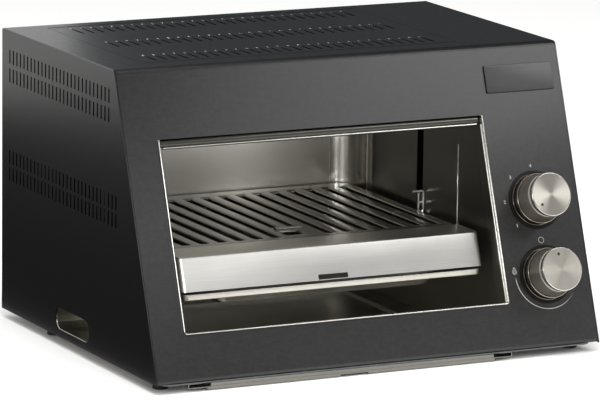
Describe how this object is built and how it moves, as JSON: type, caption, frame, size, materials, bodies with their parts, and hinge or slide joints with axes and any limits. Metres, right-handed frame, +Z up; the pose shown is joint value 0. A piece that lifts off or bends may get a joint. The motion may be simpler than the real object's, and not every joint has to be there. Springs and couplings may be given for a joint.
{
  "type": "top-heat grill",
  "caption": "Table-top grill with heat from above: dark steel casing with sloping front, lifting rack with steel apron, drip pan, crumb drawer and two knobs.",
  "frame": {"origin": "middle of the bounding box seen from above, on the surface the feet stand on", "axes": "+Z up; -Y is the front with the window and the knobs; +X is the viewer's right"},
  "size_m": [0.5, 0.4296, 0.3075],
  "materials": {
    "casing_steel": "dark coated, fine brushed",
    "bright_steel": "bright polished",
    "brushed_steel": "brushed",
    "rack_steel": "satin",
    "knob_metal": "fine knurled",
    "plated_steel": "zinc plated",
    "brass": "turned",
    "ceramic": "matt ceramic",
    "rubber": "matt"
  },
  "bodies": {
    "casing": {"casing_shell": "casing_steel", "front_panel": "casing_steel", "top_vent_plate": "casing_steel", "rear_panel": "casing_steel", "base_plate": "plated_steel", "window_trim": "bright_steel", "window_guard_bar": "bright_steel", "name_plate": "casing_steel", "foot_front_left": "rubber", "foot_front_right": "rubber", "foot_rear_left": "rubber", "foot_rear_right": "rubber", "hand_hole_lining_left": "bright_steel", "hand_hole_lining_right": "bright_steel", "liner_back": "brushed_steel", "liner_left": "brushed_steel", "liner_right": "brushed_steel", "burner_hood": "plated_steel", "burner_tile_left": "ceramic", "burner_tile_middle": "ceramic", "burner_tile_right": "ceramic", "mixing_tube": "plated_steel", "igniter": "ceramic", "thermocouple": "brass", "gas_valve": "brass", "gas_inlet": "brass", "supply_pipe": "plated_steel", "burner_pipe": "plated_steel", "injector": "brass", "height_knob_collar": "bright_steel", "gas_knob_collar": "bright_steel", "spindle_bracket": "plated_steel", "shaft_bearing_left": "plated_steel", "shaft_bearing_right": "plated_steel", "guide_rod_left": "bright_steel", "guide_rod_right": "bright_steel", "drawer_runner_left": "bright_steel", "drawer_runner_right": "bright_steel"},
    "carrier": {"lift_plate_left": "plated_steel", "lift_plate_right": "plated_steel", "lift_toothed_strip": "plated_steel", "lift_crossbar": "plated_steel", "guide_shoe_left": "brass", "guide_shoe_right": "brass", "rack_rail_left": "bright_steel", "rack_rail_right": "bright_steel", "lift_hook_left": "bright_steel", "lift_hook_right": "bright_steel"},
    "rack": {"grill_rack": "rack_steel", "rack_apron": "brushed_steel"},
    "pan": {"drip_pan": "brushed_steel"},
    "drawer": {"crumb_drawer": "brushed_steel"},
    "height_knob": {"height_knob_grip": "knob_metal", "height_knob_cap": "brushed_steel", "height_spindle": "plated_steel", "height_pinion": "plated_steel"},
    "cross_shaft": {"cross_shaft": "plated_steel"},
    "gas_stem": {"gas_stem": "plated_steel"},
    "gas_knob": {"gas_knob_grip": "knob_metal", "gas_knob_cap": "brushed_steel"}
  },
  "joints": [
    {"name": "carrier_lift", "type": "slide", "parent": "casing", "child": "carrier", "axis": [0, 0, 1], "range_m": [0, 0.075]},
    {"name": "height_knob_turn", "type": "hinge", "parent": "casing", "child": "height_knob", "pos_m": [0.1995, -0.14744, 0.15325], "axis": [0, -0.9407, 0.3394], "range_deg": [-135, 0]},
    {"name": "cross_shaft_turn", "type": "hinge", "parent": "casing", "child": "cross_shaft", "pos_m": [0, 0.1768, 0.1198], "axis": [-1, 0, 0], "range_deg": [0, 430]},
    {"name": "rack_pull", "type": "slide", "parent": "carrier", "child": "rack", "axis": [0, -1, 0], "range_m": [0, 0.25]},
    {"name": "pan_pull", "type": "slide", "parent": "carrier", "child": "pan", "axis": [0, -1, 0], "range_m": [0, 0.25]},
    {"name": "drawer_pull", "type": "slide", "parent": "casing", "child": "drawer", "axis": [0, -1, 0], "range_m": [0, 0.3]},
    {"name": "gas_knob_push", "type": "slide", "parent": "casing", "child": "gas_stem", "axis": [0, 0.9407, -0.3394], "range_m": [0, 0.0025], "stiffness_N_per_m": 1500, "springref_m": -0.002},
    {"name": "gas_knob_turn", "type": "hinge", "parent": "gas_stem", "child": "gas_knob", "pos_m": [0.1995, -0.17371, 0.08044], "axis": [0, -0.9407, 0.3394], "range_deg": [0, 240]}
  ],
  "couplings": [
    {"joint": "height_knob_turn", "follows": "carrier_lift", "rad_per_m": -31.416},
    {"joint": "cross_shaft_turn", "follows": "carrier_lift", "rad_per_m": 100}
  ]
}
